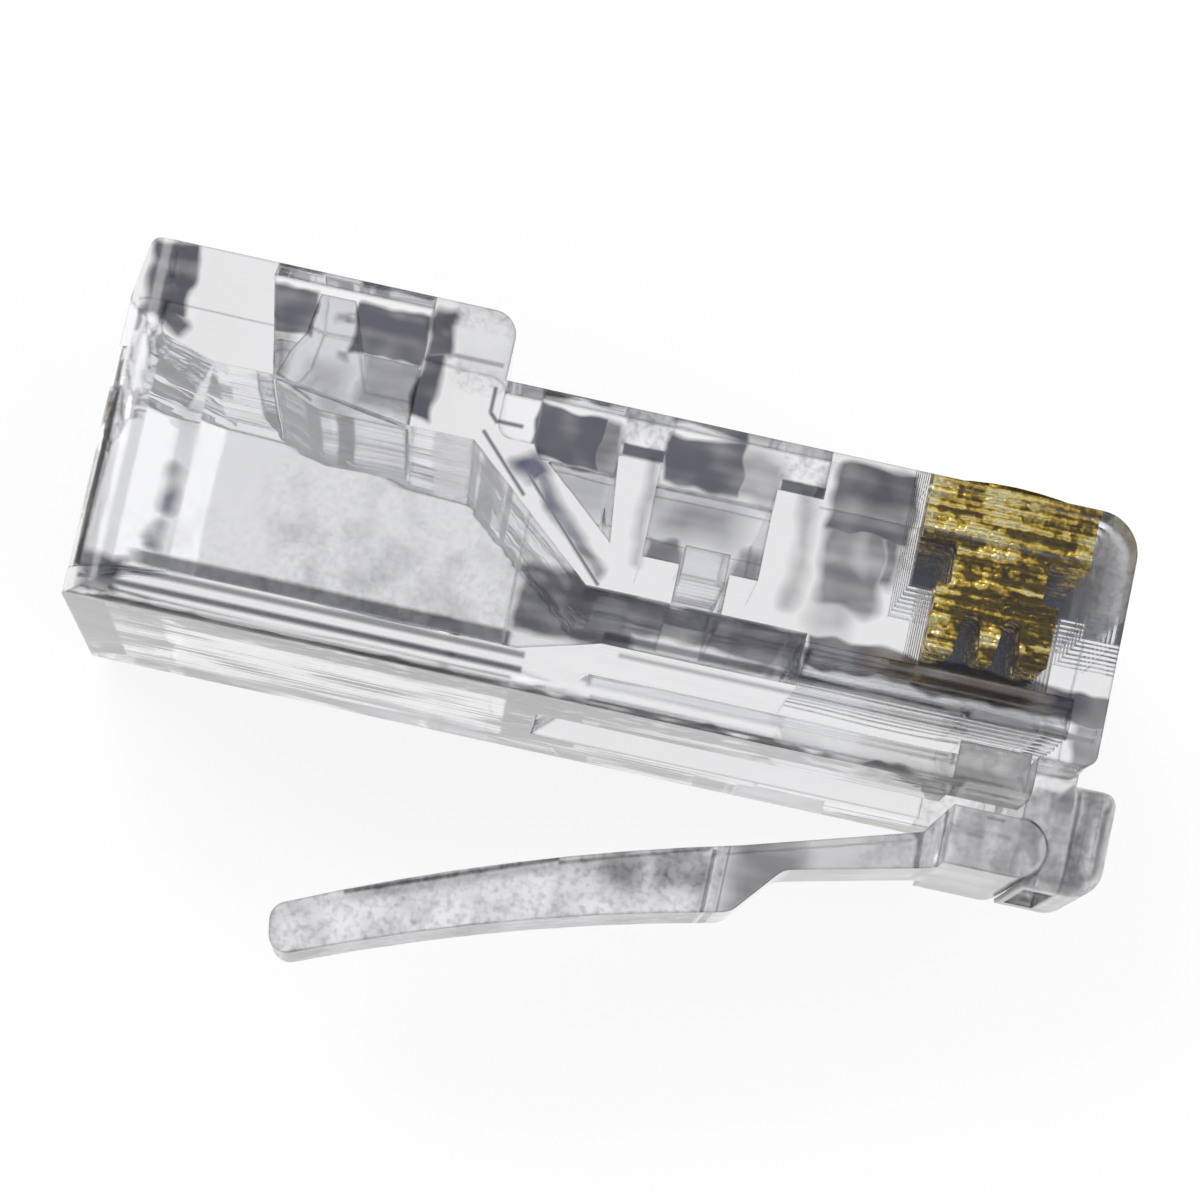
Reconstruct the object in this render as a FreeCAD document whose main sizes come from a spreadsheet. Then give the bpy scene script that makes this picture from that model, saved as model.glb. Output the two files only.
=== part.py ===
"""Eight-way modular plug, before crimping: clear moulded housing with its
latch and clamp bars, and eight gold-plated contact blades.

Lengths are in millimetres and angles in degrees. Each body is drawn in the
plug's own axes: X from the cable end to the nose, Y from the latch side up to
the contact side, Z across the plug from its middle plane. The bodies are then
placed so that the plug lies on one side, with Z = 0 on that side.
"""
import FreeCAD
import Part
import Sketcher

import math
import os
import re

DIMENSIONS = {
    # housing, outside
    "bodyLength": 22.90,        # cable end to nose
    "bodyWidth": 11.68,
    "noseHeight": 6.60,
    "rearHeight": 8.09,
    "stepPlace": 8.52,          # cable end to the step
    "noseRound": 0.95,          # top corner of the nose
    "rearTaper": 1.45,          # height over which the cable end leans in
    "rearLean": 0.25,
    "rearTopRound": 0.20,
    "stepRound": 0.55,
    "noseFootRound": 0.30,
    "rearCornerRound": 0.80,    # upright corners of the cable end
    "bellyRound": 0.45,         # long edges of the latch side
    # cable cavity
    "cavityWall": 1.54,
    "cavityFloor": 1.00,
    "cavityHeight": 4.80,
    "cavityPastStep": 1.13,
    "mouthDepth": 2.10,
    "mouthWall": 0.85,
    "mouthSill": 0.42,
    "mouthRise": 1.30,
    "flareDepth": 0.90,         # to here the mouth narrows quickly
    "flareWall": 1.28,
    "flareSill": 0.84,
    "flareRise": 0.35,
    # guide for the conductors
    "wireWall": 1.72,
    "wireFloor": 1.50,
    "wireHeight": 1.20,
    "rampPastStep": 1.48,
    "rampLength": 1.80,
    "slantCeiling": 5.33,       # where the ceiling begins to slant down
    "slantBeforeStep": 0.43,
    "slantLength": 3.10,
    "slantFootWall": 1.07,      # wall over the conductors where the slant ends
    "channelBore": 0.98,
    "channelGap": 0.25,         # front window to the channels
    "noseWall": 0.60,
    # window for the jacket clamp
    "windowStart": 2.95,
    "windowHeel": 3.42,
    "windowEnd": 6.60,
    "windowWall": 2.14,
    # window for the conductor clamp, from the step
    "shelfLength": 0.86,
    "shelfDepth": 1.00,
    "shelfRound": 0.35,
    "ledgeDepth": 1.35,         # down to here the window is wider
    "pocketWall": 2.29,
    "pocketTopWall": 1.89,
    "pocketSkin": 0.95,         # floor of the window over the conductors
    "ribDepth": 0.88,
    "ribOnePlace": 2.78,
    "ribOneLength": 0.96,
    "ribLean": 0.22,
    "ribTwoPlace": 6.38,
    "ribTwoLength": 1.05,
    # hollow under the latch, from the nose
    "bellyDepth": 0.96,
    "bellyLength": 12.20,
    "bellyRamp": 1.00,
    "bellyWideLength": 2.87,
    "bellyWideDepth": 1.15,
    "bellyClearance": 0.38,
    "footLength": 1.25,
    # latch, from the nose
    "latchWidth": 6.20,
    "hingeSetback": 1.05,
    "hingeDrop": 0.78,
    "knuckleRadius": 0.67,
    "hingeClearance": 0.04,
    "seatAngle": 60.0,
    "rootReach": 1.05,          # how far the root stands out past the nose
    "rootDrop": 1.52,
    "rootRound": 0.70,
    "rootTopRound": 0.30,
    "rootSideRound": 0.80,
    "recessSetback": 0.95,      # shallow recess under the root, from its front
    "recessLength": 0.65,
    "recessWidth": 3.60,
    "recessDepth": 0.35,
    "shoulderSetback": 2.60,
    "armWidth": 3.25,
    "armSetback": 3.02,
    "armDrop": 0.70,
    "armFlare": 0.40,
    "heelSetback": 5.95,
    "heelDrop": 2.22,
    "heelFootSetback": 6.95,
    "heelFootDrop": 3.42,
    "heelRound": 0.55,
    "padSetback": 7.00,
    "padDrop": 1.88,
    "padTopArc": 55.0,
    "padBottomArc": 50.0,
    "tipSetback": 17.10,
    "tipDrop": 5.46,
    "tipLean": 0.20,
    "tipThickness": 1.15,
    "tipRound": 0.42,
    # jacket clamp
    "clampClearance": 0.06,
    "clampTop": 6.75,
    "clampHeel": 4.58,
    "clampTip": 0.20,
    "clampKneePlace": 3.66,
    "clampKneeHeight": 6.50,
    "finRearFoot": 3.92,        # upright fin that the tool presses
    "finRear": 4.05,
    "finFront": 4.85,
    "finFrontFoot": 5.28,
    "finRearFootHeight": 6.95,
    "finTop": 7.90,
    # conductor clamp
    "anchorPlace": 5.17,        # from the step
    "anchorLength": 1.03,
    "anchorHeight": 0.77,
    "anchorLift": 0.65,         # its underside, over the conductors' room
    # contacts and their slots
    "contactCount": 8,
    "contactPitch": 1.016,
    "contactThickness": 0.32,
    "contactClearance": 0.03,
    "contactTravel": 1.10,
    "barSetback": 0.82,         # from the nose
    "barLength": 3.80,
    "barDepth": 1.15,           # its underside, below the contact side
    "barEndProud": 0.12,
    "crownInset": 0.35,
    "crownProud": 0.35,
    "crownArc": 8.0,
    "neckStart": 0.82,
    "neckLength": 2.08,
    "neckHeight": 0.97,
    "notchRound": 0.12,
    "bladeStart": 0.54,
    "bladeLength": 2.74,
    "toothGap": 0.25,           # tooth tips to the conductors' ceiling
    "toothTip": 0.16,
    "toothValley": 0.95,        # from the tips up to where the valleys turn
    "valleyWidth": 0.36,
    "valleyMouth": 0.62,
    "valleyArc": 0.20,
    "slotGap": 0.10,
    "guideWidth": 0.58,
    "guideDepth": 1.00,
    "guideMouthDepth": 2.68,
}

doc = FreeCAD.newDocument("ModularPlug")
sheet = doc.addObject("Spreadsheet::Sheet", "Dims")
for row, (alias, size) in enumerate(DIMENSIONS.items(), start=1):
    sheet.set(f"A{row}", alias)
    sheet.set(f"B{row}", str(size))
    sheet.setAlias(f"B{row}", alias)
doc.recompute()


def bound(text):
    """The expression that reads each named size in text from the sheet."""
    return re.sub(r"[A-Za-z]\w*",
                  lambda word: "Dims." + word.group() if word.group() in DIMENSIONS else word.group(),
                  text)


def value(text):
    """The present value of an expression in the named sizes."""
    result = sheet.evalExpression(bound(text))
    return float(getattr(result, "Value", result))


def newBody(label, x="-bodyLength / 2", y="-noseHeight / 2", z="bodyWidth / 2"):
    """A body whose own axes are the plug's, placed with the plug on its side."""
    body = doc.addObject("PartDesign::Body", label)
    body.Label = label
    for axis, text in zip("xyz", (x, y, z)):
        body.setExpression(f"Placement.Base.{axis}", bound(text))
    return body


def newSketch(body, name, role="XY_Plane", offset=None):
    sketch = body.newObject("Sketcher::SketchObject", name)
    plane = [item for item in body.Origin.OriginFeatures if item.Role == role][0]
    sketch.AttachmentSupport = [(plane, "")]
    sketch.MapMode = "FlatFace"
    if offset:
        sketch.setExpression("AttachmentOffset.Base.z", bound(offset))
    return sketch


def hold(sketch, edge, end, x, y):
    """Hold one end of an edge at a place given by two expressions."""
    for kind, text in (("DistanceX", x), ("DistanceY", y)):
        index = sketch.addConstraint(Sketcher.Constraint(kind, edge, end, value(text)))
        sketch.setExpression(f"Constraints[{index}]", bound(text))


def arcEdge(start, end, radius, side):
    """The shorter arc from start to end, with its centre on the left (side 1)
    or on the right (side -1) of the way there."""
    chord = end - start
    across = FreeCAD.Vector(-chord.y, chord.x, 0).normalize() * side
    rise = math.sqrt(max(radius ** 2 - (chord.Length / 2) ** 2, 0))
    centre = (start + end) / 2 + across * rise
    first, last = (start, end) if side > 0 else (end, start)
    angles = [math.atan2(corner.y - centre.y, corner.x - centre.x) for corner in (first, last)]
    circle = Part.Circle(centre, FreeCAD.Vector(0, 0, 1), radius)
    return Part.ArcOfCircle(circle, angles[0], angles[1])


def outline(sketch, corners):
    """A closed outline. Each corner is (x, y), and (x, y, radius, side) where
    the edge that leaves it is an arc."""
    places = [FreeCAD.Vector(value(corner[0]), value(corner[1]), 0) for corner in corners]
    first = sketch.GeometryCount
    ends = []
    for index, corner in enumerate(corners):
        start, end = places[index], places[(index + 1) % len(corners)]
        if len(corner) == 4:
            sketch.addGeometry(arcEdge(start, end, value(corner[2]), corner[3]))
            ends.append((1, 2) if corner[3] > 0 else (2, 1))
        else:
            sketch.addGeometry(Part.LineSegment(start, end))
            ends.append((1, 2))
    for index, corner in enumerate(corners):
        following = (index + 1) % len(corners)
        sketch.addConstraint(Sketcher.Constraint(
            "Coincident", first + index, ends[index][1], first + following, ends[following][0]))
        hold(sketch, first + index, ends[index][0], corner[0], corner[1])
        if len(corner) == 4:
            radius = sketch.addConstraint(Sketcher.Constraint("Radius", first + index, value(corner[2])))
            sketch.setExpression(f"Constraints[{radius}]", bound(corner[2]))
    return sketch


def box(x0, y0, x1, y1):
    return [(x0, y0), (x1, y0), (x1, y1), (x0, y1)]


def across(body, kind, name, corners, width, middle=None):
    """A pad or pocket of a side-view outline, spread evenly about a plane."""
    before = body.Shape.Volume if body.Tip else 0.0
    sketch = outline(newSketch(body, name + "Outline", offset=middle), corners)
    feature = body.newObject("PartDesign::" + kind, name)
    feature.Profile = sketch
    feature.Midplane = True
    feature.setExpression("Length", bound(width))
    return finished(body, feature, before, grows=kind == "Pad")


def finished(body, feature, before, grows=False):
    """Make a feature the body's last, and see that it adds or removes material."""
    body.Tip = feature
    doc.recompute()
    change = body.Shape.Volume - before
    if change == 0 or (change > 0) != grows:
        raise RuntimeError(f"{feature.Name} leaves {body.Label} as it was")
    return feature


def repeatAcross(body, feature, name):
    """Repeat a feature once for each contact, from the first towards +Z."""
    before = body.Shape.Volume
    pattern = body.newObject("PartDesign::LinearPattern", name)
    pattern.Originals = [feature]
    pattern.Direction = ([item for item in body.Origin.OriginFeatures if item.Role == "Z_Axis"][0], [""])
    pattern.setExpression("Length", bound("contactPitch * (contactCount - 1)"))
    pattern.setExpression("Occurrences", bound("contactCount"))
    return finished(body, pattern, before)


def roundEdges(body, name, radius, chosen):
    """Round the edges that the function chosen picks."""
    before = body.Shape.Volume
    base = body.Tip
    edges = [f"Edge{index}" for index, edge in enumerate(base.Shape.Edges, start=1) if chosen(edge)]
    feature = body.newObject("PartDesign::Fillet", name)
    feature.Base = (base, edges)
    feature.setExpression("Radius", bound(radius))
    body.Tip = feature
    doc.recompute()
    if body.Shape.Volume == before:
        raise RuntimeError(f"{name} rounds nothing")
    return feature


def uprightAt(*places):
    """Picks the edges that run along Z through the given (x, y) places."""
    spots = [(value(x), value(y)) for x, y in places]

    def chosen(edge):
        low, high = edge.BoundBox.getPoint(0), edge.BoundBox.getPoint(6)
        flat = abs(low.x - high.x) < 1e-4 and abs(low.y - high.y) < 1e-4
        return flat and any(abs(low.x - x) < 1e-3 and abs(low.y - y) < 1e-3 for x, y in spots)
    return chosen


# places that more than one body is made from
CAVITY_CEILING = "(cavityFloor + cavityHeight)"
WIRE_CEILING = "(wireFloor + wireHeight)"
SLANT_START = "(stepPlace - slantBeforeStep)"
SLANT_END = f"({SLANT_START} + slantLength)"
SLANT_SLOPE = f"(slantCeiling - {WIRE_CEILING}) / slantLength"
WINDOW_WIDTH = "(bodyWidth - 2 * windowWall)"
POCKET_WIDTH = "(bodyWidth - 2 * pocketWall)"
POCKET_FLOOR = f"({WIRE_CEILING} + pocketSkin)"
POCKET_END = "(stepPlace + ribTwoPlace + ribTwoLength)"
HINGE_X = "(bodyLength - hingeSetback)"
BAR_START = "(bodyLength - barSetback - barLength)"
BAR_BOTTOM = "(noseHeight - barDepth)"
FIRST_CONTACT = "-contactPitch * (contactCount - 1) / 2"


def makeHousing():
    body = newBody("housing")
    foot = "bodyLength - footLength"
    across(body, "Pad", "shell", [
        ("0", "0"), (foot, "0"), (foot, "bellyDepth"), ("bodyLength", "bellyDepth"),
        ("bodyLength", "noseHeight"), ("stepPlace", "noseHeight"), ("stepPlace", "rearHeight"),
        ("rearLean", "rearHeight"), ("0", "rearHeight - rearTaper")], "bodyWidth")
    roundShell(body)
    cutCavity(body)
    cutWindows(body)
    cutSlots(body)

    # hollow that the latch sinks into, with a ramp at its rear end
    hollow = "bodyLength - bellyLength"
    across(body, "Pocket", "bellyHollow", [
        (hollow, "0"), (hollow, "-1"), (foot, "-1"), (foot, "bellyDepth"),
        (f"{hollow} + bellyRamp", "bellyDepth")], "armWidth + 2 * bellyClearance")
    across(body, "Pocket", "bellyWideHollow",
           box("bodyLength - bellyWideLength", "-1", foot, "bellyWideDepth"),
           "latchWidth + 2 * bellyClearance")
    addRoot(body)
    return body


def roundShell(body):
    roundEdges(body, "noseRounding", "noseRound", uprightAt(("bodyLength", "noseHeight")))
    roundEdges(body, "rearTopRounding", "rearTopRound", uprightAt(("rearLean", "rearHeight")))
    roundEdges(body, "stepRounding", "stepRound", uprightAt(("stepPlace", "rearHeight")))
    roundEdges(body, "noseFootRounding", "noseFootRound", uprightAt(("bodyLength", "bellyDepth")))
    side = value("bodyWidth / 2")
    foot = value("footLength")
    roundEdges(body, "bellyRounds", "bellyRound",
               lambda edge: abs(edge.BoundBox.YMax) < 1e-4 and edge.BoundBox.XLength > foot
               and abs(abs(edge.BoundBox.Center.z) - side) < 1e-4)

    # upright corners of the cable end, cut through the whole height
    before = body.Shape.Volume
    corners = newSketch(body, "rearCornersOutline", "XZ_Plane")
    outline(corners, [
        ("-1", "bodyWidth / 2 - rearCornerRound"),
        ("0", "bodyWidth / 2 - rearCornerRound", "rearCornerRound", -1),
        ("rearCornerRound", "bodyWidth / 2"), ("rearCornerRound", "bodyWidth / 2 + 1"),
        ("-1", "bodyWidth / 2 + 1")])
    outline(corners, [
        ("-1", "rearCornerRound - bodyWidth / 2"), ("-1", "-bodyWidth / 2 - 1"),
        ("rearCornerRound", "-bodyWidth / 2 - 1"),
        ("rearCornerRound", "-bodyWidth / 2", "rearCornerRound", -1),
        ("0", "rearCornerRound - bodyWidth / 2")])
    cut = body.newObject("PartDesign::Pocket", "rearCorners")
    cut.Profile = corners
    cut.Midplane = True
    cut.setExpression("Length", bound("2 * (rearHeight + 1)"))
    finished(body, cut, before)


def cutCavity(body):
    """The cable cavity, its funnel and the room that leads the conductors to their channels."""
    end = "stepPlace + cavityPastStep"
    across(body, "Pocket", "cableCavity", [
        ("-1", "cavityFloor"), (end, "cavityFloor"),
        (end, f"slantCeiling - {SLANT_SLOPE} * (slantBeforeStep + cavityPastStep)"),
        (SLANT_START, "slantCeiling"), ("windowEnd", "slantCeiling"),
        ("windowHeel", CAVITY_CEILING), ("-1", CAVITY_CEILING)], "bodyWidth - 2 * cavityWall")
    rampStart = "stepPlace + rampPastStep"
    across(body, "Pocket", "wireRoom", [
        (f"{end} - 0.5", "cavityFloor"), (rampStart, "cavityFloor"),
        (f"{rampStart} + rampLength", "wireFloor"), (f"{POCKET_END} + channelGap", "wireFloor"),
        (f"{POCKET_END} + channelGap", WIRE_CEILING), (SLANT_END, WIRE_CEILING),
        (SLANT_START, "slantCeiling"), (SLANT_START, "slantCeiling - 1")], "bodyWidth - 2 * wireWall")

    before = body.Shape.Volume
    sections = []
    for name, depth, sill, wall, rise in (
            ("mouthOuter", None, "mouthSill", "mouthWall", "mouthRise"),
            ("mouthFlare", "flareDepth", "flareSill", "flareWall", "flareRise"),
            ("mouthInner", "mouthDepth", "cavityFloor", "cavityWall", "0")):
        section = newSketch(body, name, "YZ_Plane", depth)
        sections.append(outline(section, box(sill, f"{wall} - bodyWidth / 2",
                                             f"{CAVITY_CEILING} + {rise}", f"bodyWidth / 2 - {wall}")))
    funnel = body.newObject("PartDesign::SubtractiveLoft", "mouthFunnel")
    funnel.Profile = sections[0]
    funnel.Sections = sections[1:]
    funnel.Ruled = True
    finished(body, funnel, before)


def cutWindows(body):
    """The windows in the contact side, through which the tool reaches the two clamps."""
    across(body, "Pocket", "clampWindow", [
        ("windowStart", "rearHeight + 1"), ("windowStart", "rearHeight"),
        ("windowHeel", CAVITY_CEILING), ("windowHeel", "cavityFloor + 1"),
        ("windowEnd", "cavityFloor + 1"), ("windowEnd", "rearHeight + 1")], WINDOW_WIDTH)

    drop = "stepPlace + shelfLength"
    ribOne = "stepPlace + ribOnePlace"
    ribTwo = "stepPlace + ribTwoPlace"
    shelf = "noseHeight - shelfDepth"
    ribTop = "noseHeight - ribDepth"
    slantFoot = f"{WIRE_CEILING} + slantFootWall"

    def overRibs(floor):
        ribOneEnd = f"{ribOne} + ribOneLength"
        return [(ribOne, ribTop), (ribOneEnd, ribTop), (ribOneEnd, floor), (ribTwo, floor),
                (ribTwo, ribTop), (POCKET_END, ribTop), (POCKET_END, "noseHeight + 1")]
    across(body, "Pocket", "frontWindow", [
        ("stepPlace", "noseHeight + 1"), ("stepPlace", shelf), (drop, shelf),
        (f"{ribOne} + ribLean", slantFoot), *overRibs(POCKET_FLOOR)], POCKET_WIDTH)
    roundEdges(body, "shelfRounding", "shelfRound", uprightAt(("stepPlace", shelf)))
    ledge = "noseHeight - ledgeDepth"
    run = f"(ribOnePlace + ribLean - shelfLength) / ({shelf} - {slantFoot})"
    across(body, "Pocket", "windowLedge", [
        (drop, "noseHeight + 1"), (drop, shelf),
        (f"{drop} + (ledgeDepth - shelfDepth) * {run}", ledge), (ribOne, ledge),
        *overRibs(ledge)], "bodyWidth - 2 * pocketTopWall")
    reach = "(anchorLength / 2 + clampClearance)"
    across(body, "Pocket", "anchorSlot",
           box(f"stepPlace + anchorPlace - {reach}", f"{WIRE_CEILING} - wireHeight / 2",
               f"stepPlace + anchorPlace + {reach}", f"{POCKET_FLOOR} + pocketSkin"), POCKET_WIDTH)


def cutSlots(body):
    """For each contact a stepped slot, a wider guide over it and a channel under it."""
    rear = f"{BAR_START} - slotGap"
    front = f"{BAR_START} + barLength + slotGap"
    bladeRear = f"{BAR_START} + bladeStart - slotGap"
    bladeFront = f"{BAR_START} + bladeStart + bladeLength + slotGap"
    step = f"{BAR_BOTTOM} - contactTravel - slotGap"
    floor = f"{WIRE_CEILING} - wireHeight / 2"
    slot = across(body, "Pocket", "bladeSlot", [
        (rear, "noseHeight + 1"), (rear, step), (bladeRear, step), (bladeRear, floor),
        (bladeFront, floor), (bladeFront, step), (front, step), (front, "noseHeight + 1")],
        "contactThickness + 2 * contactClearance", middle=FIRST_CONTACT)
    repeatAcross(body, slot, "bladeSlots")
    guide = across(body, "Pocket", "guide", [
        (rear, "noseHeight + 1"), (rear, "noseHeight - guideDepth"),
        (front, "noseHeight - guideDepth"), (front, "noseHeight - guideMouthDepth"),
        ("bodyLength + 1", "noseHeight - guideMouthDepth"), ("bodyLength + 1", "noseHeight + 1")],
        "guideWidth", middle=FIRST_CONTACT)
    repeatAcross(body, guide, "guides")

    before = body.Shape.Volume
    middle = "wireFloor + wireHeight / 2"
    circle = newSketch(body, "channelCircle", "YZ_Plane", "bodyLength - noseWall")
    centre = FreeCAD.Vector(value(middle), value(FIRST_CONTACT), 0)
    circle.addGeometry(Part.Circle(centre, FreeCAD.Vector(0, 0, 1), value("channelBore / 2")))
    hold(circle, 0, 3, middle, FIRST_CONTACT)
    radius = circle.addConstraint(Sketcher.Constraint("Radius", 0, value("channelBore / 2")))
    circle.setExpression(f"Constraints[{radius}]", bound("channelBore / 2"))
    channel = body.newObject("PartDesign::Pocket", "channel")
    channel.Profile = circle
    channel.setExpression("Length", bound(f"bodyLength - noseWall - {POCKET_END} - channelGap / 2"))
    finished(body, channel, before)
    repeatAcross(body, channel, "channels")


def addRoot(body):
    """The block below the nose that carries the latch, hollowed for its knuckle."""
    seat = "(knuckleRadius + hingeClearance)"
    lip = f"{HINGE_X} + {seat} * cos(seatAngle)"
    lipTop = f"-hingeDrop - {seat} * sin(seatAngle)"
    front = "bodyLength + rootReach"
    inside = "bellyDepth + noseFootRound"
    across(body, "Pad", "latchRoot", [
        (HINGE_X, f"-hingeDrop + {seat}"), (HINGE_X, inside), ("bodyLength", inside),
        ("bodyLength", "bellyDepth"), (front, "bellyDepth"), (front, "-rootDrop"),
        (lip, "-rootDrop"), (lip, lipTop, seat, 1)], "latchWidth")
    roundEdges(body, "rootRounding", "rootRound", uprightAt((front, "-rootDrop")))
    roundEdges(body, "rootTopRounding", "rootTopRound", uprightAt((front, "bellyDepth")))
    reach = value(front)
    roundEdges(body, "rootSideRounds", "rootSideRound",
               lambda edge: abs(edge.BoundBox.XMin - reach) < 1e-4 and edge.BoundBox.ZLength < 1e-4)
    recess = f"{front} - recessSetback"
    across(body, "Pocket", "rootRecess", box(f"{recess} - recessLength", "-rootDrop - 1", recess,
                                             "recessDepth - rootDrop"), "recessWidth")


def makeLatch():
    """The wide plate behind the root, its shoulders, and the arm with its finger pad."""
    body = newBody("latch")
    top, bottom = "-hingeDrop + knuckleRadius", "-hingeDrop - knuckleRadius"
    shoulder = "bodyLength - shoulderSetback"
    across(body, "Pad", "shoulderPlate", [
        (HINGE_X, bottom, "knuckleRadius", 1), (f"{HINGE_X} + knuckleRadius", "-hingeDrop", "knuckleRadius", 1),
        (HINGE_X, top), (shoulder, top), (shoulder, bottom)], "latchWidth")
    pad = "bodyLength - padSetback"
    tip = "bodyLength - tipSetback"
    heelFoot = "bodyLength - heelFootSetback"
    heel = "bodyLength - heelSetback"
    across(body, "Pad", "arm", [
        (HINGE_X, top), (shoulder, top), ("bodyLength - armSetback", "-armDrop"),
        (pad, "-padDrop", "padTopArc", 1), (tip, "-tipDrop"),
        (f"{tip} + tipLean", "-tipDrop - tipThickness", "padBottomArc", -1),
        (heelFoot, "-heelFootDrop"), (heel, "-heelDrop"), (shoulder, bottom), (HINGE_X, bottom)],
        "armWidth")
    corner = (value(shoulder), value("armWidth / 2"))
    roundEdges(body, "armFlares", "armFlare",
               lambda edge: edge.BoundBox.XLength < 1e-4 and edge.BoundBox.ZLength < 1e-4
               and abs(edge.BoundBox.XMax - corner[0]) < 1e-4
               and abs(abs(edge.BoundBox.ZMax) - corner[1]) < 1e-4)
    roundEdges(body, "heelRounds", "heelRound",
               uprightAt((heelFoot, "-heelFootDrop"), (heel, "-heelDrop")))
    roundEdges(body, "tipRounds", "tipRound",
               uprightAt((tip, "-tipDrop"), (f"{tip} + tipLean", "-tipDrop - tipThickness")))
    return body


def makeJacketClamp():
    """The finned bar that the tool swings down on the cable jacket, about its front lower edge."""
    body = newBody("jacket_clamp")
    front = "windowEnd - clampClearance"
    tip = "windowHeel + clampClearance"
    under = f"{CAVITY_CEILING} - clampClearance"
    across(body, "Pad", "bar", [
        (tip, under), ("clampHeel", "slantCeiling"), (front, "slantCeiling"), (front, "clampTop"),
        ("finFrontFoot", "clampTop"), ("finFront", "finTop"), ("finRear", "finTop"),
        ("finRearFoot", "finRearFootHeight"), ("clampKneePlace", "clampKneeHeight"),
        (tip, f"{under} + clampTip")],
        f"{WINDOW_WIDTH} - 2 * clampClearance")
    return body


def makeConductorClamp():
    """The bar that the tool drives down on the conductors."""
    body = newBody("conductor_clamp")
    middle = "stepPlace + anchorPlace"
    under = f"{WIRE_CEILING} + anchorLift"
    across(body, "Pad", "bar",
           box(f"{middle} - anchorLength / 2", under,
               f"{middle} + anchorLength / 2", f"{under} + anchorHeight"),
           f"{POCKET_WIDTH} - 2 * clampClearance")
    return body


def makeContact(number):
    """One blade: a bar with a raised crown, a neck between two notches, and piercing teeth."""
    body = newBody(f"contact_{number}",
                   z=f"bodyWidth / 2 + contactPitch * ({number} - 1 - (contactCount - 1) / 2)")
    barEnd = f"{BAR_START} + barLength"
    barTop = "noseHeight + barEndProud"
    crown = "noseHeight + crownProud"
    neckRear = f"{BAR_START} + neckStart"
    neckFront = f"{neckRear} + neckLength"
    neckBottom = f"{BAR_BOTTOM} - neckHeight"
    bladeRear = f"{BAR_START} + bladeStart"
    bladeFront = f"{bladeRear} + bladeLength"
    tip = f"{WIRE_CEILING} + toothGap"
    valley = f"{tip} + toothValley"
    teeth = [(bladeFront, f"{tip} + toothTip"), (f"{bladeFront} - toothTip", tip)]
    for place in (2, 1):
        middle = f"{bladeRear} + bladeLength * {place} / 3"
        teeth += [(f"{middle} + valleyMouth / 2", tip), (f"{middle} + valleyWidth / 2", valley, "valleyArc", 1),
                  (f"{middle} - valleyWidth / 2", valley), (f"{middle} - valleyMouth / 2", tip)]
    teeth += [(f"{bladeRear} + toothTip", tip), (bladeRear, f"{tip} + toothTip")]
    across(body, "Pad", "blade", [
        (BAR_START, BAR_BOTTOM), (BAR_START, barTop), (f"{BAR_START} + crownInset", crown, "crownArc", -1),
        (f"{barEnd} - crownInset", crown), (barEnd, barTop), (barEnd, BAR_BOTTOM),
        (neckFront, BAR_BOTTOM), (neckFront, neckBottom), (bladeFront, neckBottom), *teeth,
        (bladeRear, neckBottom), (neckRear, neckBottom), (neckRear, BAR_BOTTOM)],
        "contactThickness")
    roundEdges(body, "notchRounds", "notchRound", uprightAt(
        (neckFront, BAR_BOTTOM), (neckFront, neckBottom), (neckRear, neckBottom), (neckRear, BAR_BOTTOM)))
    return body


def writeParts(bodies):
    doc.recompute()
    for item in doc.Objects:
        if "Invalid" in item.State or "Error" in item.State:
            raise RuntimeError(f"{item.Name} is {item.State}")
    for body in bodies:
        if body.Shape.isNull() or not body.Shape.isValid() or len(body.Shape.Solids) != 1:
            raise RuntimeError(f"{body.Label} is not one sound solid")
    os.makedirs("parts", exist_ok=True)
    for body in bodies:
        body.Shape.exportStep(f"parts/{body.Label}.step")
        print(f"{body.Label}: {body.Shape.Volume:.3f} mm3, {len(body.Shape.Faces)} faces")


contacts = [makeContact(number) for number in range(1, DIMENSIONS["contactCount"] + 1)]
writeParts([makeHousing(), makeLatch(), makeJacketClamp(), makeConductorClamp(), *contacts])
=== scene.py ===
import math

import bmesh
import bpy
from mathutils import Matrix, Vector

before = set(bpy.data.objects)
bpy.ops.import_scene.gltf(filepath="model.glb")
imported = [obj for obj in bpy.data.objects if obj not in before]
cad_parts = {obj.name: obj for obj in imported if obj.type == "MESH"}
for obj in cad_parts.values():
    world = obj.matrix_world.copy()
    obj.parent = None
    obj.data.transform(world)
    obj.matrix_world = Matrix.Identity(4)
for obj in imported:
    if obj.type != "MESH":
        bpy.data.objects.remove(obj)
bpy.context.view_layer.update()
print("frame loaded:", len(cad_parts), "nodes")

scene = bpy.context.scene
scene.view_settings.view_transform = "Standard"
# light has to cross all eight slots before it leaves the clear body
scene.cycles.max_bounces = 16
scene.cycles.transmission_bounces = 16
scene.cycles.glossy_bounces = 5
scene.cycles.diffuse_bounces = 1
scene.cycles.caustics_refractive = False
scene.cycles.caustics_reflective = False


# small helpers for node trees

def addNode(tree, kind, **settings):
    node = tree.nodes.new(kind)
    for name, setting in settings.items():
        setattr(node, name, setting)
    return node


def setInputs(node, **values):
    for name, number in values.items():
        node.inputs[name.replace("_", " ")].default_value = number
    return node


def newGroup(name, inputs, outputs):
    group = bpy.data.node_groups.new(name, "ShaderNodeTree")
    for label, kind, start in inputs:
        socket = group.interface.new_socket(label, in_out="INPUT", socket_type=kind)
        if start is not None:
            socket.default_value = start
    for label, kind in outputs:
        group.interface.new_socket(label, in_out="OUTPUT", socket_type=kind)
    return group, group.nodes.new("NodeGroupInput"), group.nodes.new("NodeGroupOutput")


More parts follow.
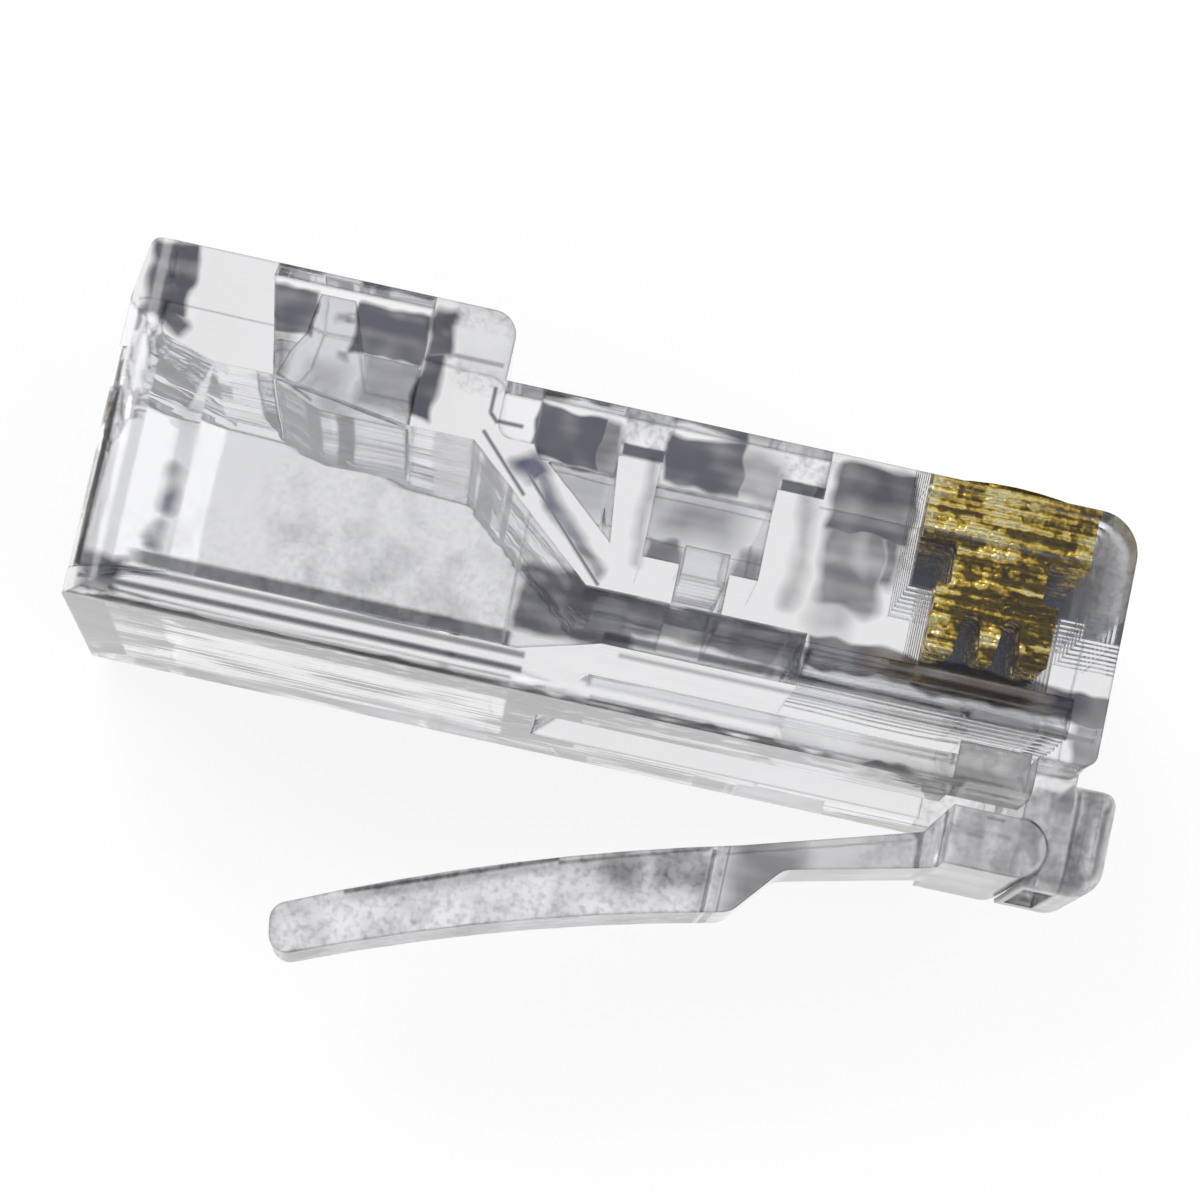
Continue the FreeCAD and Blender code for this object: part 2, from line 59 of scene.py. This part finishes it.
def mathNode(tree, operation, first, second=None, third=None, clamp=False):
    node = addNode(tree, "ShaderNodeMath", operation=operation, use_clamp=clamp)
    for slot, given in enumerate((first, second, third)):
        if given is None:
            continue
        if isinstance(given, (int, float)):
            node.inputs[slot].default_value = given
        else:
            tree.links.new(given, node.inputs[slot])
    return node.outputs[0]


def mixColours(tree, factor, first, second):
    node = addNode(tree, "ShaderNodeMix", data_type="RGBA")
    for slot, given in ((0, factor), (6, first), (7, second)):      # the slots of a colour mix
        if isinstance(given, (tuple, float)):
            node.inputs[slot].default_value = given
        else:
            tree.links.new(given, node.inputs[slot])
    return node.outputs[2]


def vectorNode(tree, operation, *given):
    node = addNode(tree, "ShaderNodeVectorMath", operation=operation)
    for slot, value in enumerate(given):
        if isinstance(value, tuple):
            node.inputs[slot].default_value = value
        else:
            tree.links.new(value, node.inputs[slot])
    return node.outputs["Value" if operation in ("DISTANCE", "DOT_PRODUCT") else "Vector"]


def fillRamp(node, stops):
    elements = node.color_ramp.elements
    for number, (position, colour) in enumerate(stops):
        stop = elements[number] if number < 2 else elements.new(position)      # a new ramp has two stops
        stop.position = position
        stop.color = colour


# a soft box in object space: the strength inside, fading to 0 round it
def makeBoxMask():
    group, given, out = newGroup(
        "boxMask",
        [("Place", "NodeSocketVector", None), ("Low", "NodeSocketVector", (0, 0, 0)),
         ("High", "NodeSocketVector", (0.001, 0.001, 0.001)), ("Fade", "NodeSocketFloat", -1000.0),
         ("Strength", "NodeSocketFloat", 1.0)],
        [("Mask", "NodeSocketFloat")],
    )
    place = given.outputs["Place"]
    nearest = vectorNode(group, "MAXIMUM", place, given.outputs["Low"])
    nearest = vectorNode(group, "MINIMUM", nearest, given.outputs["High"])
    away = vectorNode(group, "DISTANCE", place, nearest)
    mask = mathNode(group, "MULTIPLY_ADD", away, given.outputs["Fade"], given.outputs["Strength"])
    group.links.new(mask, out.inputs["Mask"])
    return group


flowLook = {
    "drawn": (0.06, 1.0, 1.0),                              # flow lines run along the plug
    "roughness": 0.6,
    "noises": {                                             # scale and detail
        "Wave": (420.0, 0.0),
        "Line": (2600.0, 1.0),
        "Cloud": (1100.0, 1.0),
        "Grain": (6000.0, 1.0),
    },
}


# slow waves, drawn-out flow lines, clouds and fine grain of a moulding
def makeMouldFlow():
    group, given, out = newGroup(
        "mouldFlow",
        [("Place", "NodeSocketVector", None)]
        + [(name + " Scale", "NodeSocketFloat", scale)
           for name, (scale, detail) in flowLook["noises"].items()],
        [("Waves", "NodeSocketFloat"), ("Lines", "NodeSocketFloat"), ("Clouds", "NodeSocketFloat"),
         ("Drift", "NodeSocketColor"), ("Grain", "NodeSocketFloat")],
    )
    links = group.links
    place = given.outputs["Place"]
    drawn = vectorNode(group, "MULTIPLY", place, flowLook["drawn"])
    for name, (scale, detail) in flowLook["noises"].items():
        noise = addNode(group, "ShaderNodeTexNoise")
        setInputs(noise, Detail=detail, Roughness=flowLook["roughness"])
        links.new(drawn if name == "Line" else place, noise.inputs["Vector"])
        links.new(given.outputs[name + " Scale"], noise.inputs["Scale"])
        links.new(noise.outputs["Fac"], out.inputs[name if name == "Grain" else name + "s"])
        if name == "Cloud":
            links.new(noise.outputs["Color"], out.inputs["Drift"])
    return group


boxMask = makeBoxMask()
mouldFlow = makeMouldFlow()

# zones are given in the plug's own millimetres, from the cable end, the latch side and the side it lies on
plugOrigin = (-11.45, -3.30, 0.0)
perMetre = 1000


def newMaterial(name):
    material = bpy.data.materials.new(name)
    material.use_nodes = True
    tree = material.node_tree
    shader = next(node for node in tree.nodes if node.type == "BSDF_PRINCIPLED")
    place = addNode(tree, "ShaderNodeTexCoord").outputs["Object"]
    return material, tree, shader, place


# how deep in the plug a zone lies: its outer side, the walls inside that, or all the way through
depths = {"skin": (11.5, 12.0), "wall": (8.8, 10.3), "all": (-1.0, 13.0)}


# the strongest of several zones: x and y from and to, depth, softness, strength and turn in degrees
def zoneMask(tree, place, zones):
    strongest = None
    for left, bottom, right, top, depth, softness, strength, *turn in zones:
        near, far = depths[depth] if isinstance(depth, str) else depth
        corners = [], []
        for low, high, shift in zip((left, bottom, near), (right, top, far), plugOrigin):
            trim = min(softness, high - low) / 2
            corners[0].append((low + trim + shift) / perMetre)
            corners[1].append((high - trim + shift) / perMetre)
        turned = place
        if turn:
            rotate = addNode(tree, "ShaderNodeVectorRotate", rotation_type="Z_AXIS")
            tree.links.new(place, rotate.inputs["Vector"])
            rotate.inputs["Center"].default_value = [(a + b) / 2 for a, b in zip(*corners)]
            rotate.inputs["Angle"].default_value = -math.radians(turn[0])
            turned = rotate.outputs[0]
        zone = addNode(tree, "ShaderNodeGroup", node_tree=boxMask)
        tree.links.new(turned, zone.inputs["Place"])
        zone.inputs["Low"].default_value, zone.inputs["High"].default_value = corners
        zone.inputs["Fade"].default_value = -perMetre * strength / softness
        zone.inputs["Strength"].default_value = strength
        mask = zone.outputs["Mask"]
        strongest = mask if strongest is None else mathNode(tree, "MAXIMUM", strongest, mask)
    return mathNode(tree, "MAXIMUM", strongest, 0.0)


# how far a noise rises above a level, spread out and clamped
def risen(tree, noise, steepness, level, strength):
    gain = steepness * strength
    return mathNode(tree, "MULTIPLY_ADD", noise, gain, -level * gain, clamp=True)


# clear polycarbonate with zones of painted shade, thin painted dark lines, frosted zones, cloudy zones and
# tinted painted shade
def makeClearPlastic(name, look, shadeZones, shadeLineZones, frosted, cloudy=(), shadeTintZones=()):
    material, tree, shader, place = newMaterial(name)
    links = tree.links
    shader.inputs["Transmission Weight"].default_value = 1.0
    shader.inputs["IOR"].default_value = look["index"]
    flow = addNode(tree, "ShaderNodeGroup", node_tree=mouldFlow)
    links.new(place, flow.inputs["Place"])
    wander = (look["edgeWander"],) * 3
    drift = vectorNode(tree, "SUBTRACT", flow.outputs["Drift"], look["noiseMiddle"])
    wandering = vectorNode(tree, "MULTIPLY_ADD", drift, wander, place)

    # edges that a moulding leaves round, and a thin dark line of painted shade along them
    soft = addNode(tree, "ShaderNodeBevel", samples=2)
    soft.inputs["Radius"].default_value = look["edgeRound"]
    flat = addNode(tree, "ShaderNodeNewGeometry").outputs["True Normal"]
    facing = vectorNode(tree, "DOT_PRODUCT", soft.outputs[0], flat)
    edge = mathNode(tree, "MULTIPLY_ADD", facing, -look["edgeLine"], look["edgeLine"], clamp=True)

    frost = zoneMask(tree, place, frosted)
    # painted shade: zones darkened where the clear body only looks dark, broken up by clouds and streaks
    # below
    shadeAndSpeckle = zoneMask(tree, wandering, shadeZones)
    patchy = mathNode(tree, "MULTIPLY_ADD", flow.outputs["Clouds"], look["patches"],
                      1 - look["patches"] / 2)
    uneven = mathNode(tree, "MULTIPLY_ADD", flow.outputs["Lines"], look["streaks"], -look["streaks"] / 2)
    shadeAndSpeckle = mathNode(tree, "MULTIPLY", shadeAndSpeckle, mathNode(tree, "ADD", uneven, patchy), clamp=True)
    # painted dark lines along the edges and in the listed line zones
    shadeAndSpeckle = mathNode(tree, "MAXIMUM", shadeAndSpeckle, mathNode(tree, "MAXIMUM", edge, zoneMask(tree, place, shadeLineZones)))
    # clouds and speckle where the mould's core left a matt face
    clouds = risen(tree, flow.outputs["Clouds"], look["contrast"], look["cloudLevel"], look["clouds"])
    speckle = risen(tree, flow.outputs["Grain"], look["contrast"], look["speckleLevel"], look["speckle"])
    matt = mathNode(tree, "MAXIMUM", frost, zoneMask(tree, wandering, cloudy)) if cloudy else frost
    shadeAndSpeckle = mathNode(tree, "MULTIPLY_ADD", matt, clouds, shadeAndSpeckle, clamp=True)
    speckled = mathNode(tree, "MAXIMUM", frost, mathNode(tree, "MULTIPLY", matt, look["cloudySpeckle"]))
    shadeAndSpeckle = mathNode(tree, "MULTIPLY_ADD", speckled, speckle, shadeAndSpeckle, clamp=True)
    # two crossings of a face darken by the square
    kept = mathNode(tree, "SUBTRACT", 1.0, shadeAndSpeckle)
    shadeAndSpeckle = mathNode(tree, "SUBTRACT", 1.0, mathNode(tree, "MULTIPLY", kept, kept))
    clear = mixColours(tree, mathNode(tree, "MULTIPLY", flow.outputs["Waves"], look["mottle"]),
                       look["tint"], look["haze"])
    # the dark colour of the painted shade and speckle, tinted blue in places and brown as a painted
    # reflection of the gold
    dark = look["shadeAndSpeckle"]
    for colour, zones in shadeTintZones:
        dark = mixColours(tree, zoneMask(tree, wandering, zones), dark, look[colour])
    links.new(mixColours(tree, shadeAndSpeckle, clear, dark), shader.inputs["Base Color"])
    links.new(mathNode(tree, "MULTIPLY", frost, look["frostRoughness"]), shader.inputs["Roughness"])

    height = mathNode(tree, "MULTIPLY", flow.outputs["Waves"], look["waveHeight"])
    height = mathNode(tree, "MULTIPLY_ADD", flow.outputs["Lines"], look["lineHeight"], height)
    bump = setInputs(addNode(tree, "ShaderNodeBump"), Strength=1.0, Distance=1.0)
    links.new(height, bump.inputs["Height"])
    links.new(soft.outputs[0], bump.inputs["Normal"])
    links.new(bump.outputs[0], shader.inputs["Normal"])
    return material


clearLook = {
    "index": 1.586,
    "tint": (0.985, 0.985, 0.99, 1.0),
    "haze": (0.80, 0.81, 0.85, 1.0),
    # the dark colour of the painted shade and speckle, then a blue tint and a brown tint for that painted
    # shade, the brown as a painted reflection of the gold contacts
    "shadeAndSpeckle": (0.014, 0.014, 0.02, 1.0),
    "blueShade": (0.016, 0.02, 0.05, 1.0),
    "goldReflectionBrown": (0.05, 0.03, 0.012, 1.0),
    "mottle": 0.25,
    "streaks": 0.6,
    "patches": 0.7,
    "clouds": 0.3,
    "cloudLevel": 0.475,
    "speckle": 0.3,
    "speckleLevel": 0.425,
    "cloudySpeckle": 0.4,
    "contrast": 4.0,
    "noiseMiddle": (0.5, 0.5, 0.5),
    "edgeWander": 0.0005,
    "edgeRound": 0.0001,
    "edgeLine": 2.0,
    "frostRoughness": 0.4,
    "waveHeight": 0.00003,
    "lineHeight": 0.000004,
}

# painted shade on the housing: dark zones in its windows, pockets, channels and corners, where the clear
# body only looks dark
housingPaintedShade = [
    (0.12, 6.35, 1.35, 8.05, "skin", 0.15, 0.95),           # the mouth's upper corner
    (0.3, 6.2, 1.5, 6.6, "skin", 0.2, 0.8, -30),
    (2.9, 6.85, 3.98, 7.9, "wall", 0.1, 0.95),              # jacket clamp window, behind the fin
    (2.9, 5.9, 3.7, 7.0, "wall", 0.3, 0.5),
    (4.95, 6.75, 6.6, 7.9, "wall", 0.1, 0.95),              # and before it
    (5.3, 5.5, 6.6, 6.8, "wall", 0.25, 0.5),
    (6.6, 5.35, 7.1, 6.85, "skin", 0.15, 0.92),
    (6.6, 6.75, 7.25, 7.9, "skin", 0.2, 0.88),
    (9.3, 5.25, 10.95, 6.45, "wall", 0.1, 0.92),            # first pocket
    (10.8, 5.2, 11.35, 6.45, "wall", 0.2, 0.7),
    (9.9, 4.2, 11.35, 5.3, "wall", 0.5, 0.35),
    (12.35, 5.3, 14.1, 6.5, "wall", 0.15, 0.9),             # second pocket
    (13.8, 5.3, 15.0, 6.4, "wall", 0.4, 0.6),
    (12.35, 4.2, 14.3, 5.3, "wall", 0.8, 0.5),
    (12.35, 2.9, 13.1, 4.2, "wall", 0.15, 0.72),
    (14.25, 3.3, 14.95, 4.25, "wall", 0.3, 0.6),
    (12.0, 3.1, 12.25, 5.6, "skin", 0.25, 0.4),             # darker strips of painted shade in the ribs
    (15.45, 3.0, 15.8, 5.5, "skin", 0.3, 0.4),
    (16.05, 4.9, 17.9, 6.5, "skin", 0.15, 0.84),            # solid between the ribs and the slots
    (16.1, 3.2, 17.5, 5.5, "skin", 0.3, 0.72),
    (17.35, 3.9, 17.8, 5.3, "skin", 0.3, 0.78),
    (16.1, 2.6, 17.0, 3.4, "skin", 0.5, 0.45),
    (9.75, 1.35, 12.4, 2.9, "wall", 0.2, 0.78),             # funnel of the conductors
    (11.4, 1.85, 16.3, 2.7, "wall", 0.12, 0.8),
    (16.2, 1.85, 22.9, 2.55, "skin", 0.1, 0.8),             # channels
    (22.3, 0.9, 22.95, 1.9, "skin", 0.12, 0.65),
    (0.0, -0.1, 1.25, 0.95, "skin", 0.25, 0.85),
    (0.8, -0.1, 20.2, 0.06, (9.2, 11.9), 0.1, 0.97),
    (1.6, 2.2, 1.95, 3.4, "wall", 0.3, 0.85),               # bluish painted shade in the cavity
    (1.5, 1.35, 1.85, 2.0, "wall", 0.3, 0.8),
    (1.6, 3.4, 2.1, 4.8, "wall", 0.3, 0.18),
    (9.15, 4.5, 9.8, 5.05, "skin", 0.3, 0.9, -46),          # along the slanted wall
    (8.85, 3.72, 11.9, 4.02, "skin", 0.2, 0.7, -46),
    (22.0, -1.7, 22.5, 0.7, "all", 0.1, 0.3),               # root of the latch
    (22.4, -1.7, 23.0, -0.9, "all", 0.2, 0.25),
    (23.1, -1.7, 23.9, 0.9, "all", 0.1, 0.36),
]
# painted shade on the housing: thin dark lines where its edges and grooves look dark through the clear
# body
housingShadeLines = [
    (7.1, 6.85, 8.4, 6.95, "skin", 0.06, 0.5),
    (8.29, 5.8, 8.37, 6.4, "skin", 0.06, 0.8),              # groove of the shelf
    (8.28, 5.68, 8.58, 5.77, "skin", 0.06, 0.8, -45),
    (8.5, 5.62, 9.1, 5.71, "skin", 0.06, 0.8),
    (11.35, 5.75, 12.3, 6.02, "wall", 0.06, 0.92),          # painted shadow under each rib's cap
    (14.95, 5.72, 16.0, 5.98, "wall", 0.06, 0.9),
    (11.8, 1.45, 22.8, 1.62, "skin", 0.08, 0.65),           # dark lines along the channels
    (12.2, 1.12, 20.0, 1.22, "skin", 0.08, 0.45),
    (0.1, 1.0, 9.8, 1.33, "wall", 0.1, 0.76),               # foot of the cavity's side
    (0.2, 0.33, 10.2, 0.47, "skin", 0.08, 0.82),            # beside the belly
    (0.2, 0.66, 10.2, 0.8, "skin", 0.08, 0.68),
    (0.8, -0.1, 20.2, 0.12, "skin", 0.08, 0.85),
    (8.9, 3.62, 11.9, 3.7, "skin", 0.06, 0.8, -46),         # along the slanted wall
    (8.0, 4.75, 9.7, 4.83, "skin", 0.06, 0.8, -46),
    (22.98, -1.7, 23.08, 0.8, "all", 0.06, 0.6),            # root of the latch
    (23.22, -1.7, 23.32, 0.9, "all", 0.06, 0.45),
    (23.5, -1.7, 23.6, 0.9, "all", 0.06, 0.45),
]
housingFrost = [
    (7.1, 7.6, 8.6, 8.4, "all", 0.2, 0.6),                  # top of the cable end's block
    (11.3, 5.95, 12.4, 6.9, (2.0, 9.95), 0.1, 0.8),         # caps of the two ribs
    (14.9, 5.95, 16.1, 6.9, (2.0, 9.95), 0.1, 0.8),
    (22.2, 4.3, 23.2, 6.9, "all", 0.12, 0.8),               # nose
    (20.0, -2.0, 24.5, 1.3, (1.2, 10.4), 0.1, 0.45),        # recess and root of the latch
]
housingCloudy = [
    (3.9, 1.0, 9.8, 4.0, (1.3, 10.3), 0.8, 0.85),           # cable cavity
    (0.2, 1.0, 4.4, 2.4, (1.3, 10.3), 0.8, 0.6),
]
# tints of the painted shade: blue in the cavity and by the slanted wall, brown in the channels as a
# painted reflection of the gold contacts
housingShadeTints = [
    ("blueShade", [(9.0, 3.3, 12.0, 5.2, "skin", 0.3, 1.0), (1.3, 1.3, 2.3, 4.9, "wall", 0.3, 1.0)]),
    ("goldReflectionBrown", [(17.6, 1.9, 21.6, 2.5, "skin", 0.4, 0.8)]),
]
# painted shade on the latch
latchPaintedShade = [
    (12.9, -3.3, 13.9, -2.7, "all", 0.3, 0.35),             # finger pad
    (14.1, -3.1, 15.3, -2.3, "all", 0.3, 0.3),
    (15.8, -3.6, 17.6, -1.4, "all", 0.7, 0.45),
    (17.4, -2.6, 19.9, -0.6, "all", 0.4, 0.18),
    (19.95, -1.7, 20.15, -0.1, "all", 0.12, 0.3),
    (20.45, -1.6, 21.8, -0.1, "all", 0.12, 0.2),
    (21.75, -1.6, 22.4, 0.9, "all", 0.1, 0.34),
]
# painted dark lines on the latch, along the finger pad's outline and its step
latchShadeLines = [
    (7.2, -3.98, 12.1, -3.88, "all", 0.06, 0.7, 21),        # outline of the finger pad
    (11.85, -2.67, 15.3, -2.59, "all", 0.06, 0.5, 17.5),
    (6.05, -5.84, 10.15, -5.76, "all", 0.06, 0.4, 20.5),
    (9.9, -4.39, 15.4, -4.31, "all", 0.06, 0.35, 14.5),
    (15.28, -3.6, 15.38, -2.1, "all", 0.04, 0.65),          # step from the pad to the arm
    (15.62, -3.5, 15.68, -1.9, "all", 0.03, 0.5),
    (21.05, -0.3, 21.5, -0.2, "all", 0.06, 0.5),
]
latchFrost = [
    (5.0, -8.0, 15.3, 0.0, "all", 0.1, 0.8),
    (15.4, -8.0, 15.6, 0.0, "all", 0.04, 0.8),
    (18.6, -1.7, 22.4, 0.0, "all", 0.3, 0.35),
]
# painted shade and a painted dark line on the clamps
clampPaintedShade = [(4.2, 5.7, 5.0, 6.5, "all", 0.4, 0.3), (4.45, 7.3, 4.75, 7.5, "all", 0.15, 0.5)]
clampShadeLines = [(3.4, 5.7, 4.4, 5.76, "all", 0.06, 0.6, -25)]
clampFrost = [(3.0, 4.0, 15.0, 6.0, "all", 0.5, 0.25)]

housingPlastic = makeClearPlastic("housingPlastic", clearLook, housingPaintedShade, housingShadeLines, housingFrost,
                                  housingCloudy, housingShadeTints)
latchPlastic = makeClearPlastic("latchPlastic", clearLook, latchPaintedShade, latchShadeLines, latchFrost)
clampPlastic = makeClearPlastic("clampPlastic", clearLook, clampPaintedShade, clampShadeLines, clampFrost)


# painted shade on the contacts: the neck and the band under the blade's top darkened
goldPaintedShade = [
    (19.3, 3.6, 21.1, 5.3, "all", 0.3, 0.11),               # neck
    (20.9, 2.9, 21.6, 5.0, "all", 0.3, 0.10),
    (18.3, 5.3, 22.1, 5.6, "all", 0.15, 0.06),
]
# painted highlights on the contacts: the blade's ends and beside the teeth
goldPaintedHighlights = [
    (18.25, 5.5, 18.5, 6.8, "all", 0.08, 0.12),             # ends of the blade's top
    (21.7, 5.4, 22.05, 6.7, "all", 0.1, 0.12),
    (18.4, 2.8, 19.3, 4.3, "all", 0.4, 0.07),               # beside the teeth
    (20.4, 3.2, 20.9, 4.0, "all", 0.25, 0.1),
]


# a pair is a gain and an offset
goldLook = {
    # gold tones from a painted dark shade through the gold's own colour to painted near-white glints
    "shades": [
        (0.36, (0.13, 0.085, 0.008, 1)),
        (0.43, (0.38, 0.25, 0.02, 1)),
        (0.49, (0.80, 0.54, 0.05, 1)),
        (0.55, (1.0, 0.74, 0.14, 1)),
        (0.62, (1.0, 0.88, 0.42, 1)),
    ],
    "lineScale": 6000.0,
    "cloudScale": 1600.0,
    "patches": (0.6, -0.32),
    "glints": (0.5, -0.26),
    "roughness": (0.25, 0.12),
    "lineHeight": 0.00012,
    "grainHeight": 0.00004,
}


# thin gold over copper alloy, rolled along the blade and stamped; its colour also holds painted glints,
# painted highlights and painted shade
def makeContactGold():
    material, tree, shader, place = newMaterial("contactGold")
    links = tree.links
    shader.inputs["Metallic"].default_value = 1.0
    flow = addNode(tree, "ShaderNodeGroup", node_tree=mouldFlow)
    links.new(place, flow.inputs["Place"])
    flow.inputs["Line Scale"].default_value = goldLook["lineScale"]
    flow.inputs["Cloud Scale"].default_value = goldLook["cloudScale"]
    shade = addNode(tree, "ShaderNodeValToRGB")
    fillRamp(shade, goldLook["shades"])
    patchy = mathNode(tree, "MULTIPLY_ADD", flow.outputs["Clouds"], *goldLook["patches"])
    # fine flecks that lift the colour to its near-white end, as painted glints
    glinting = mathNode(tree, "MULTIPLY_ADD", flow.outputs["Grain"], *goldLook["glints"])
    marksGlintsAndShade = mathNode(tree, "ADD", mathNode(tree, "ADD", flow.outputs["Lines"], patchy), glinting)
    # painted shade taken off the neck, painted highlights added at the blade's ends and beside the teeth
    marksGlintsAndShade = mathNode(tree, "SUBTRACT", marksGlintsAndShade, zoneMask(tree, place, goldPaintedShade))
    marksGlintsAndShade = mathNode(tree, "ADD", marksGlintsAndShade, zoneMask(tree, place, goldPaintedHighlights))
    links.new(marksGlintsAndShade, shade.inputs["Fac"])
    links.new(shade.outputs["Color"], shader.inputs["Base Color"])
    rough = mathNode(tree, "MULTIPLY_ADD", flow.outputs["Grain"], *goldLook["roughness"])
    links.new(rough, shader.inputs["Roughness"])
    height = mathNode(tree, "MULTIPLY", flow.outputs["Lines"], goldLook["lineHeight"])
    height = mathNode(tree, "MULTIPLY_ADD", flow.outputs["Grain"], goldLook["grainHeight"], height)
    bump = setInputs(addNode(tree, "ShaderNodeBump"), Strength=1.0, Distance=1.0)
    links.new(height, bump.inputs["Height"])
    links.new(bump.outputs[0], shader.inputs["Normal"])
    return material


contactGold = makeContactGold()


def dress(node, material):
    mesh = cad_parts[node].data
    mesh.materials.clear()
    mesh.materials.append(material)


finishes = {"housing": housingPlastic, "latch": latchPlastic, "jacket_clamp": clampPlastic,
            "conductor_clamp": clampPlastic}
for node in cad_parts:
    dress(node, finishes.get(node, contactGold))
print("materials done")


# pale floor, lamps, world and camera
studio = {
    "floorRadius": 0.9,
    "floorDrop": 0.00003,
    "floorSides": 128,
    "floorGlow": 0.88,
    "floorRoughness": 0.9,
    "floorToneScale": 6.0,
    "floorTones": [(0.0, (0.93, 0.93, 0.935, 1)), (1.0, (0.96, 0.96, 0.96, 1))],
    "lampAim": (0, 0, 0.005),
    "lamps": [                                              # name, place, width and power
        ("keyLamp", (-0.18, 0.16, 0.26), 0.26, 0.85),
        ("fillLamp", (0.26, -0.08, 0.16), 0.22, 0.45),
    ],
    "sky": [                                                # by how far up the world is looked at
        (0.0, (0.85, 0.86, 0.88, 1)),
        (0.1, (0.50, 0.52, 0.57, 1)),
        (0.4, (0.52, 0.54, 0.59, 1)),
        (0.6, (0.82, 0.83, 0.86, 1)),
        (0.86, (0.80, 0.81, 0.84, 1)),
        (0.95, (0.26, 0.27, 0.32, 1)),
        (1.0, (0.20, 0.21, 0.25, 1)),
    ],
}


def makeFloor():
    mesh = bpy.data.meshes.new("studioFloor")
    shape = bmesh.new()
    bmesh.ops.create_circle(shape, cap_ends=True, radius=studio["floorRadius"],
                            segments=studio["floorSides"])
    bmesh.ops.translate(shape, verts=shape.verts, vec=(0, 0, -studio["floorDrop"]))
    shape.to_mesh(mesh)
    shape.free()
    floor = bpy.data.objects.new("studioFloor", mesh)
    scene.collection.objects.link(floor)
    material, tree, shader, place = newMaterial("floorWhite")
    links = tree.links
    tone = setInputs(addNode(tree, "ShaderNodeTexNoise"), Scale=studio["floorToneScale"])
    links.new(place, tone.inputs["Vector"])
    shade = addNode(tree, "ShaderNodeValToRGB")
    fillRamp(shade, studio["floorTones"])
    links.new(tone.outputs["Fac"], shade.inputs["Fac"])
    links.new(shade.outputs["Color"], shader.inputs["Base Color"])
    shader.inputs["Roughness"].default_value = studio["floorRoughness"]
    shader.inputs["Specular IOR Level"].default_value = 0.0
    path = addNode(tree, "ShaderNodeLightPath")
    seen = mathNode(tree, "MAXIMUM", path.outputs["Is Camera Ray"], path.outputs["Is Glossy Ray"])
    seen = mathNode(tree, "MAXIMUM", seen, path.outputs["Is Transmission Ray"])
    glow = setInputs(addNode(tree, "ShaderNodeEmission"), Strength=1.0)
    mix = addNode(tree, "ShaderNodeMixShader")
    links.new(mathNode(tree, "MULTIPLY", seen, studio["floorGlow"]), mix.inputs[0])
    links.new(shader.outputs[0], mix.inputs[1])
    links.new(glow.outputs[0], mix.inputs[2])
    output = next(node for node in tree.nodes if node.type == "OUTPUT_MATERIAL")
    links.new(mix.outputs[0], output.inputs["Surface"])
    material.cycles.emission_sampling = "NONE"
    mesh.materials.append(material)


def addLamp(name, place, size, power):
    light = bpy.data.lights.new(name, "AREA")
    light.shape = "RECTANGLE"
    light.size = light.size_y = size
    light.energy = power
    lamp = bpy.data.objects.new(name, light)
    lamp.location = place
    lamp.rotation_euler = (Vector(studio["lampAim"]) - Vector(place)).to_track_quat("-Z", "Y").to_euler()
    scene.collection.objects.link(lamp)


def makeWorld():
    world = bpy.data.worlds.new("studioWorld")
    scene.world = world
    world.use_nodes = True
    tree = world.node_tree
    background = next(node for node in tree.nodes if node.type == "BACKGROUND")
    direction = addNode(tree, "ShaderNodeTexCoord").outputs["Generated"]
    parts = addNode(tree, "ShaderNodeSeparateXYZ")
    tree.links.new(direction, parts.inputs[0])
    sky = addNode(tree, "ShaderNodeValToRGB")
    fillRamp(sky, studio["sky"])
    tree.links.new(parts.outputs["Z"], sky.inputs["Fac"])
    tree.links.new(sky.outputs["Color"], background.inputs["Color"])
    background.inputs["Strength"].default_value = 1.0


cameraView = {
    "lens": 140.41,
    "sensor": 36.0,
    "near": 0.001,
    "far": 20.0,
    "place": (-0.001082, -0.016225, 0.112729),
    "right": (0.97694, 0.20919, 0.04288),
    "up": (-0.21323, 0.96650, 0.14288),
    "back": (-0.01156, -0.14872, 0.98881),
}


def makeCamera():
    data = bpy.data.cameras.new("productCamera")
    data.lens = cameraView["lens"]
    data.sensor_width = cameraView["sensor"]
    data.clip_start = cameraView["near"]
    data.clip_end = cameraView["far"]
    camera = bpy.data.objects.new("productCamera", data)
    turn = Matrix([cameraView[side] for side in ("right", "up", "back")]).transposed()
    camera.matrix_world = Matrix.Translation(cameraView["place"]) @ turn.to_4x4()
    scene.collection.objects.link(camera)
    scene.camera = camera


makeFloor()
for lamp in studio["lamps"]:
    addLamp(*lamp)
makeWorld()
makeCamera()
print("stage done")
